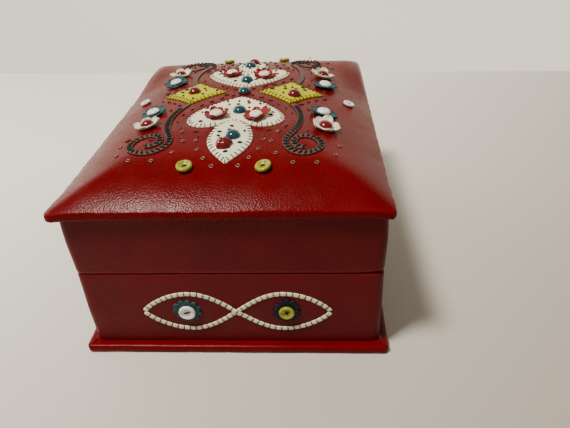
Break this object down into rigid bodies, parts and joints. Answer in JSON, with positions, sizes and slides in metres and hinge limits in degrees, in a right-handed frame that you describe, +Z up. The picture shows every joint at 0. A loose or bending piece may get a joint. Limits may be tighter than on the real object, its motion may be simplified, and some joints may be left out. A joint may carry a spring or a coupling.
{
  "type": "leather jewellery case",
  "caption": "Rectangular padded leather jewellery case with a hinged domed lid, applied leather hearts, scrolls and flowers, and a laced eye motif on the front.",
  "frame": {"origin": "middle of the underside of the plinth, on the surface that the case stands on", "axes": "+X to the right seen from the laced front, +Y from the front to the hinged back, +Z up"},
  "size_m": [0.1624, 0.2094, 0.1101],
  "materials": {
    "glossy_red_leather": "glossy pebble-grained leather",
    "wine_leather": "smooth satin leather",
    "suede_lining": "napped suede",
    "box_board": "dense grey board",
    "foam_padding": "soft wadding",
    "ivory_leather": "matte leather",
    "lime_leather": "matte leather",
    "teal_leather": "satin leather",
    "navy_leather": "satin leather",
    "scarlet_leather": "satin leather",
    "charcoal_leather": "matte leather",
    "dark_thread": "waxed thread",
    "teal_gloss": "glossy",
    "scarlet_gloss": "glossy",
    "ivory_gloss": "glossy",
    "lime_gloss": "glossy",
    "ring_metal": "worn"
  },
  "bodies": {
    "base": {"base_board": "box_board", "base_board_leather": "glossy_red_leather", "base_underlay": "suede_lining", "base_front_wall": "box_board", "base_back_wall": "box_board", "base_left_wall": "box_board", "base_right_wall": "box_board", "base_wall_leather": "wine_leather", "base_floor_pad": "suede_lining", "base_wall_linings": "suede_lining", "hinge_leather_lower": "wine_leather", "inner_hinge_lower": "suede_lining", "front_lace_over": "ivory_leather", "front_lace_under": "ivory_leather", "front_lace_stitches": "dark_thread", "front_teal_flower": "teal_leather", "front_navy_flower": "navy_leather", "front_white_button": "ivory_gloss", "front_lime_button": "lime_gloss", "front_button_stitches": "dark_thread"},
    "lid": {"lid_board": "box_board", "lid_padding": "foam_padding", "lid_top_leather": "glossy_red_leather", "lid_front_wall": "box_board", "lid_back_wall": "box_board", "lid_left_wall": "box_board", "lid_right_wall": "box_board", "lid_wall_leather": "wine_leather", "lid_ceiling_pad": "suede_lining", "lid_wall_linings": "suede_lining", "hinge_leather_upper": "wine_leather", "inner_hinge_upper": "suede_lining", "heart_front": "ivory_leather", "heart_rear": "ivory_leather", "teardrop_front": "ivory_leather", "teardrop_rear": "ivory_leather", "diamond_left": "lime_leather", "diamond_right": "lime_leather", "scroll_front_left": "charcoal_leather", "scroll_front_right": "charcoal_leather", "scroll_rear_left": "charcoal_leather", "scroll_rear_right": "charcoal_leather", "scroll_stitches": "dark_thread", "applique_stitches": "dark_thread", "teal_flowers": "teal_leather", "white_flowers": "ivory_leather", "red_flowers": "scarlet_leather", "teal_domes": "teal_gloss", "white_domes": "ivory_gloss", "red_domes": "scarlet_gloss", "lime_buttons": "lime_gloss", "white_buttons": "ivory_gloss", "button_stitches": "dark_thread", "pierced_rings": "ring_metal"}
  },
  "joints": [
    {"name": "lid_hinge", "type": "hinge", "parent": "base", "child": "lid", "pos_m": [0, 0.101, 0.051], "axis": [-1, 0, 0], "range_deg": [0, 100]}
  ]
}
